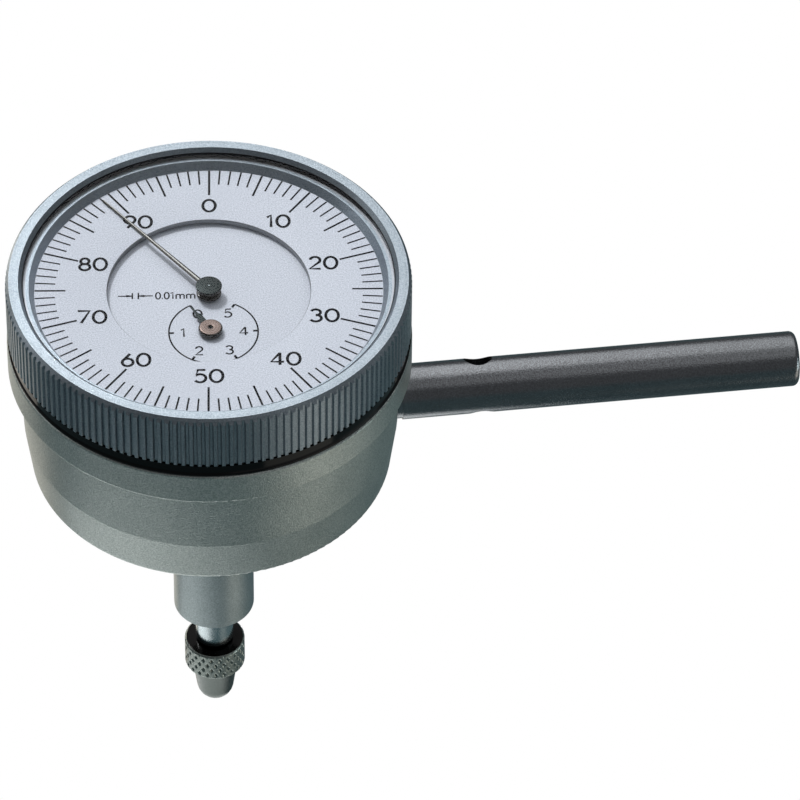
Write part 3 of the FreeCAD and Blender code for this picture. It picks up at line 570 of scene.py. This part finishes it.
def ink_mesh(strokes, width, face_z):
    """Strokes of ink as thin raised ribbons on a face."""
    curve = bpy.data.curves.new("strokes", "CURVE")
    curve.dimensions = "3D"
    curve.bevel_depth = width / 2
    curve.bevel_resolution = 1
    curve.use_fill_caps = True
    for stroke in strokes:
        closed = math.dist(stroke[0], stroke[-1]) < 1e-6
        points = stroke[:-1] if closed else stroke
        spline = curve.splines.new("POLY")
        spline.points.add(len(points) - 1)
        for point, (x, y) in zip(spline.points, points):
            point.co = (x, y, 0, 1)
        spline.use_cyclic_u = closed
    holder = bpy.data.objects.new("strokes", curve)
    mesh = bpy.data.meshes.new_from_object(holder)
    bpy.data.objects.remove(holder)
    flat = Matrix.Diagonal((1, 1, ink_height / width, 1))
    mesh.transform(Matrix.Translation((0, 0, face_z + ink_lift)) @ flat)
    return mesh


def joined(meshes):
    shape = bmesh.new()
    for mesh in meshes:
        shape.from_mesh(mesh)
        bpy.data.meshes.remove(mesh)
    return shape


def make_dial_marks():
    """A hundred lines on the outer ring, longer at each five and ten."""
    meshes = []
    for kind in ("ten", "five", "one"):
        strokes = []
        for index in range(100):
            of_kind = "ten" if index % 10 == 0 else "five" if index % 5 == 0 else "one"
            if of_kind == kind:
                bearing = 90 + mark_turn - degrees_per_mark * index
                strokes.append([bearing_point(mark_inner[kind], bearing),
                                bearing_point(mark_outer, bearing)])
        meshes.append(ink_mesh(strokes, mark_width[kind], dial_face_z))
    piece = finished(joined(meshes), "dial_marks", "ink")
    return ridden(piece, "bezel_group", "dial_silver")


def make_dial_numbers():
    strokes = []
    for number in range(0, 100, 10):
        bearing = 90 + mark_turn - degrees_per_mark * number
        x, y = bearing_point(number_from_axis, bearing)
        text = drawn_text(str(number), number_height, number_gap)
        strokes += placed(text, (x + number_shift.get(number, 0), y), mark_turn)
    piece = finished(ink_mesh(strokes, number_stroke, dial_face_z), "dial_numbers", "ink")
    return ridden(piece, "bezel_group", "dial_silver")


def make_counter_print():
    """The ring, ticks and numbers of the turns counter, open at the top and cut at the rim."""
    inside = []
    for bearing in range(counter_first_bearing, counter_last_bearing + 1, counter_ring_step):
        point = bearing_point(counter_ring_radius, bearing, counter_ring_centre)
        inside.append(point if math.hypot(*point) < counter_ring_cut else None)
    rings, run = [], []
    for point in inside + [None]:
        if point:
            run.append(point)
        elif run:
            rings.append(run)
            run = []
    meshes = [ink_mesh(rings, counter_ring_stroke, centre_face_z)]
    ticks, numbers = [], []
    for index in range(6):
        bearing = counter_first_bearing + counter_tick_step * index
        ticks.append([bearing_point(counter_tick_inner, bearing, counter_ring_centre),
                      bearing_point(counter_ring_radius, bearing, counter_ring_centre)])
        centre = bearing_point(counter_number_from_centre, bearing, counter_ring_centre)
        numbers += placed(drawn_text(str(index), counter_number_height, 0), centre)
    meshes.append(ink_mesh(ticks, counter_tick_width, centre_face_z))
    meshes.append(ink_mesh(numbers, counter_number_stroke, centre_face_z))
    piece = finished(joined(meshes), "counter_print", "ink")
    return ridden(piece, "case_group", "dial_silver")


def make_scale_print():
    """The size of one division, between two arrows."""
    text = drawn_text(scale_text, scale_text_height, scale_text_gap)
    left = min(x for stroke in text for x, y in stroke)
    text = placed(text, (-left, 0))
    arrows = []
    for side, bar_x in scale_bar_places:
        tip = bar_x + side * scale_tip_gap
        arrows.append([(bar_x, -scale_bar_half), (bar_x, scale_bar_half)])
        arrows.append([(tip, 0), (tip + side * scale_shaft_length, 0)])
        for lift in (-scale_head_half, scale_head_half):
            arrows.append([(tip, 0), (tip + side * scale_head_length, lift)])
    strokes = placed(text + arrows, scale_text_left, scale_text_turn)
    piece = finished(ink_mesh(strokes, scale_text_stroke, centre_face_z), "scale_print", "ink")
    return ridden(piece, "case_group", "dial_silver")


def make_pointer():
    """A tapered needle with a ridge along its middle."""
    bottom, top = low("pointer").z, high("pointer").z
    shape = bmesh.new()
    corners = [(0.0, -pointer_root_width / 2), (pointer_length, -pointer_tip_width / 2),
               (pointer_length, pointer_tip_width / 2), (0.0, pointer_root_width / 2)]
    base = shape.faces.new([shape.verts.new((x, y, bottom)) for x, y in corners])
    raised = bmesh.ops.extrude_face_region(shape, geom=[base])
    ridge = [item for item in raised["geom"] if isinstance(item, bmesh.types.BMVert)]
    bmesh.ops.translate(shape, verts=ridge, vec=(0, 0, top - bottom))
    bmesh.ops.scale(shape, verts=ridge, vec=(1, pointer_ridge_share, 1))
    bmesh.ops.recalc_face_normals(shape, faces=shape.faces)
    bmesh.ops.rotate(shape, verts=shape.verts, cent=(0, 0, 0),
                     matrix=Matrix.Rotation(math.radians(pointer_bearing), 3, "Z"))
    piece = finished(shape, "pointer_needle", "pointer_dark")
    # The sloped flanks and ends are painted black as painted shade; only the flat top of the ridge keeps
    # the needle's own colour
    piece.data.materials.append(MATERIALS["painted_shade_black"])
    for face in piece.data.polygons:
        face.material_index = 0 if face.normal.z > pointer_flat_facing else 1
    return ridden(piece, "pointer_staff", "pointer_dark", "pointer")


def make_dial_ring():
    """The outer dial: a painted ring whose bored edge is bare and catches the light."""
    bottom, top = low("dial_ring").z, dial_face_z
    outer = high("dial_ring").x
    shape = lathe([(recess_radius, bottom, 0), (outer, bottom, 0), (outer, top, 0),
                   (recess_radius, top, recess_edge_round)])
    piece = finished(shape, "dial_ring_painted", "dial_silver")
    piece.data.materials.append(MATERIALS["edge_steel"])
    for face in piece.data.polygons:
        if math.hypot(face.center.x, face.center.y) < (recess_radius + recess_edge_round / 2) * MM:
            face.material_index = 1
    return ridden(piece, "bezel_group", "dial_silver", "dial_ring")


def make_seat_ring():
    """The glossy black ring between the case and the bezel, with a rounded bead."""
    bottom, top = low("seat_ring").z, high("seat_ring").z
    outer = high("seat_ring").x
    inner = outer - bead_depth
    shape = lathe([(ring_bore_radius, bottom, 0), (inner, bottom, 0),
                   (outer, bottom + bead_round, bead_round),
                   (outer, bottom + (bead_height - bead_round), bead_round),
                   (inner, bottom + bead_height, 0), (inner, top, 0), (ring_bore_radius, top, 0)])
    return ridden(finished(shape, "seat_ring_gloss", "seal_black"), "case_group", "seal_black", "seat_ring")


def make_crystal_gasket():
    """A black ring that holds the crystal by its edge and leaves the bezel's ledge bare."""
    bottom, top = low("crystal_gasket").z, high("crystal_gasket").z
    outer = high("crystal_gasket").x
    shape = lathe([(outer - gasket_width, bottom, 0), (outer, bottom, 0), (outer, top, 0.05),
                   (outer - gasket_width, top, 0.1)])
    piece = finished(shape, "crystal_gasket_ring", "gasket_black")
    return ridden(piece, "bezel_group", "gasket_black", "crystal_gasket")


def make_ledge():
    """The bright turned ledge that the crystal lies over."""
    outer = high("crystal_gasket").x - gasket_width
    bottom = low("crystal_gasket").z
    shape = lathe([(outer - ledge_shown, bottom, 0), (outer, bottom, 0), (outer, bottom + ledge_skin, 0),
                   (outer - ledge_shown, bottom + ledge_skin, 0)])
    return ridden(finished(shape, "crystal_ledge", "ledge_bright"), "bezel_group", "bezel_grey")


def make_bezel_rim():
    """The lip of the rim that stands out over the tips of the knurl."""
    outer = high("bezel").x
    top = high("bezel").z
    inner = outer - rim_lip_start
    edge = outer - rim_lip_inset
    under = top - rim_lip_height
    shape = lathe([(inner, under, 0), (edge - rim_lip_round, under, 0), (edge, top - rim_lip_chamfer, 0),
                   (edge - rim_lip_chamfer, top, 0), (inner, top, 0)])
    return ridden(finished(shape, "bezel_rim", "bezel_grey"), "bezel_group", "bezel_grey")


def make_crystal():
    """The flat crystal with a small ground edge."""
    bottom, top = low("crystal").z, high("crystal").z
    outer = high("crystal_gasket").x - gasket_width - crystal_gap
    shape = lathe([(0, bottom, 0), (outer, bottom, 0.08), (outer, top - crystal_gap, 0.1),
                   (0, top - crystal_gap, 0)])
    piece = finished(shape, "crystal_flat", "crystal_clear")
    return ridden(piece, "bezel_group", "crystal_clear", "crystal")


def make_pointer_hub():
    """A spool with a flat turned cap, which carries the needle."""
    bottom, top = low("pointer_hub").z, high("pointer_hub").z
    rim = top - hub_rim_height
    shape = lathe([(0, bottom, 0), (hub_base_radius, bottom, 0),
                   (hub_base_radius, bottom + hub_base_height, 0.08),
                   (hub_waist_radius, bottom + hub_waist_bottom, 0.1), (hub_waist_radius, rim, 0.05),
                   (hub_top_radius, rim, 0.05), (hub_top_radius, top, 0.1),
                   (hub_hole_radius, top, 0), (0, top - hub_hole_depth, 0)], hub_steps)
    piece = finished(shape, "pointer_hub_turned", "hub_dark")
    # The hub's sides and waist are painted black as painted shade under its cap
    darken_below(piece, top - hub_face_depth)
    piece.data.materials.append(MATERIALS["steel"])
    for face in piece.data.polygons:
        near_axis = face.center.to_2d().length < hub_hole_radius * MM
        if near_axis and face.center.z > (top - hub_bright_depth) * MM:
            face.material_index = 2
    return ridden(piece, "pointer_staff", "hub_dark", "pointer_hub")


def darken_below(piece, height):
    """Paints every face of a hub below a height black, as painted shade: its sides, waist and any hole
    reaching below that height.
    """
    piece.data.materials.append(MATERIALS["painted_shade_black"])
    for face in piece.data.polygons:
        if face.center.z < height * MM:
            face.material_index = 1


def make_counter_hub():
    """The turns counter's brown cap, with the dark hole of its staff."""
    bottom, top = low("counter_hub").z, high("counter_hub").z
    radius = (high("counter_hub") - low("counter_hub")).x / 2
    hole_floor = bottom + counter_hole_floor
    corner = radius - counter_cap_radius
    shape = lathe([(0, bottom, 0), (radius, bottom, 0.05), (radius, top - corner, 0.06),
                   (counter_cap_radius, top, 0.06), (counter_hole_radius, top, 0.04),
                   (counter_hole_radius, hole_floor, 0), (0, hole_floor, 0)], hub_steps)
    bmesh.ops.translate(shape, verts=shape.verts, vec=(counter_axis.x, counter_axis.y, 0))
    piece = finished(shape, "counter_hub_cap", "counter_bronze")
    # The cap's sides and its staff hole are painted black as painted shade
    darken_below(piece, top - hub_face_depth)
    return ridden(piece, "counter_arbor", "counter_bronze", "counter_hub")


def make_contact_point():
    """The screwed-in contact, with a diamond knurl round its collar."""
    spindle_end = low("spindle").z
    collar_top = spindle_end - contact_neck
    collar_low = collar_top - contact_collar
    radius = high("contact_point").x
    tip_z = low("contact_point").z + ball_radius
    profile = [(0, spindle_end, 0), (contact_neck_radius, spindle_end, 0),
               (contact_neck_radius, collar_top, 0.1), (radius - collar_shoulder, collar_top, 0.05)]
    height = collar_top - collar_low - 2 * collar_margin
    for index in range(collar_rows + 1):
        profile.append((radius, collar_top - collar_margin - height * index / collar_rows, 0))
    profile += [(radius - collar_shoulder, collar_low, 0.05), (nose_radius, collar_low, 0.1)]
    length = collar_low - tip_z
    reach = math.hypot(nose_radius, length)
    taper = math.degrees(math.acos(ball_radius / reach) - math.atan2(length, nose_radius))
    nose = arc(0, tip_z, ball_radius, ball_radius, -taper, -90)
    profile += [(x, z, 0) for x, z in nose[:-1]] + [(0, tip_z - ball_radius, 0)]
    shape = lathe(profile, collar_columns * collar_steps_per_column)
    for vert in shape.verts:
        if vert.co.xy.length > radius - 0.01:
            vert.co.xy *= (radius - collar_pit(vert.co, collar_top)) / radius
    piece = finished(shape, "contact_point_knurled", "contact_steel", 60.0)
    return ridden(piece, "plunger", "contact_steel", "contact_point")


def collar_pit(place, top):
    """How deep the collar is at a place: a lattice of crossing ridges with a pit in each diamond."""
    across = collar_columns * math.atan2(place.y, place.x) / (2 * math.pi)
    along = (place.z - top) / collar_cell_height
    off = [2 * abs(phase - round(phase)) for phase in (across + along, across - along)]
    return collar_pit_depth * max(0.0, min(off) - collar_land_share) / (1 - collar_land_share)


def make_return_spring():
    """The coil that presses the plunger out."""
    bottom, top = low("return_spring").z, high("return_spring").z
    mean_radius = high("return_spring").x - spring_wire_radius
    rise = top - bottom - 2 * spring_wire_radius
    steps = int(spring_turns * spring_steps_per_turn)
    shape = bmesh.new()
    rings = []
    for step in range(steps + 1):
        turn = 2 * math.pi * spring_turns * step / steps
        height = bottom + spring_wire_radius + rise * step / steps
        round_wire = []
        for corner in range(spring_wire_corners):
            angle = 2 * math.pi * corner / spring_wire_corners
            radius = mean_radius + spring_wire_radius * math.cos(angle)
            lift = spring_wire_radius * math.sin(angle)
            place = (radius * math.cos(turn), radius * math.sin(turn), height + lift)
            round_wire.append(shape.verts.new(place))
        rings.append(round_wire)
    for lower, upper in zip(rings, rings[1:]):
        for corner in range(spring_wire_corners):
            beside = (corner + 1) % spring_wire_corners
            shape.faces.new((lower[corner], lower[beside], upper[beside], upper[corner]))
    shape.faces.new(rings[0])
    shape.faces.new(rings[-1])
    bmesh.ops.recalc_face_normals(shape, faces=shape.faces)
    coil = finished(shape, "return_spring_coil", "spring_steel", 60.0)
    ridden(coil, "case_group", "spring_steel", "return_spring")
    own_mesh(coil)


def make_camera():
    elevation, azimuth = math.radians(camera_elevation), math.radians(camera_azimuth)
    back = Vector((math.sin(azimuth) * math.cos(elevation), -math.cos(azimuth) * math.cos(elevation),
                   math.sin(elevation)))
    level = Vector((math.cos(azimuth), math.sin(azimuth), 0))
    rise = back.cross(level)
    roll = math.radians(camera_roll)
    right = level * math.cos(roll) + rise * math.sin(roll)
    up = rise * math.cos(roll) - level * math.sin(roll)
    centre = Vector((0, 0, dial_face_z))
    place = centre + back * camera_distance + right * camera_shift_right - up * camera_shift_down
    data = bpy.data.cameras.new("camera")
    data.lens = camera_lens
    data.sensor_width = camera_sensor
    data.clip_start = 0.05
    camera = bpy.data.objects.new("camera", data)
    turn = Matrix((right, up, back)).transposed().to_4x4()
    camera.matrix_world = Matrix.Translation(place * MM) @ turn
    bpy.context.scene.collection.objects.link(camera)
    bpy.context.scene.camera = camera


def softbox(name, place, size, radiance, tint, target):
    """A soft lamp of a given brightness, aimed at a point, in millimetres."""
    data = bpy.data.lights.new(name, "AREA")
    data.shape = "RECTANGLE"
    data.size, data.size_y = size[0] * MM, size[1] * MM
    data.energy = radiance * math.pi * data.size * data.size_y
    data.color = tint
    lamp = bpy.data.objects.new(name, data)
    aim = Vector(target) - Vector(place)
    turn = aim.to_track_quat("-Z", "Y").to_matrix().to_4x4()
    lamp.matrix_world = Matrix.Translation(Vector(place) * MM) @ turn
    lamp.visible_camera = False
    bpy.context.scene.collection.objects.link(lamp)


def make_studio():
    shape = bmesh.new()
    bmesh.ops.create_circle(shape, cap_ends=True, segments=96, radius=floor_radius)
    bmesh.ops.translate(shape, verts=shape.verts, vec=(*floor_centre, floor_z))
    MATERIALS["floor_white"] = floor_white()
    finished(shape, "floor", "floor_white")
    for name, (place, size, radiance, tint, target) in LAMPS.items():
        softbox(name, place, size, radiance, tint, target)
    world = bpy.data.worlds.new("studio")
    world.use_nodes = True
    bpy.context.scene.world = world
    shader = Shader(world.node_tree)
    world.node_tree.nodes.clear()
    camera_ray = shader.node("ShaderNodeLightPath", output="Is Camera Ray")
    way = shader.node("ShaderNodeTexCoord", output="Generated")
    rise = shader.node("ShaderNodeSeparateXYZ", {}, {"Vector": way}, "Z")
    room = shader.node("ShaderNodeValToRGB", {"stops": room_stops}, {"Fac": rise * 0.5 + 0.5})
    dim = shader.node("ShaderNodeBackground", {}, {"Color": room, "Strength": 1.0})
    white = shader.node("ShaderNodeBackground", {}, {"Color": (1, 1, 1, 1), "Strength": 1.0})
    mixed = shader.node("ShaderNodeMixShader", {}, {0: camera_ray, 1: dim, 2: white})
    output = world.node_tree.nodes.new("ShaderNodeOutputWorld")
    world.node_tree.links.new(mixed.socket, output.inputs["Surface"])
    bpy.context.scene.view_settings.view_transform = "Standard"


make_camera()
make_studio()
dress_frame()
make_dial_marks()
make_dial_numbers()
make_counter_print()
make_scale_print()
make_dial_ring()
make_crystal_gasket()
make_ledge()
make_bezel_rim()
make_crystal()
make_pointer_hub()
make_pointer()
make_counter_hub()
make_seat_ring()
make_contact_point()
make_return_spring()
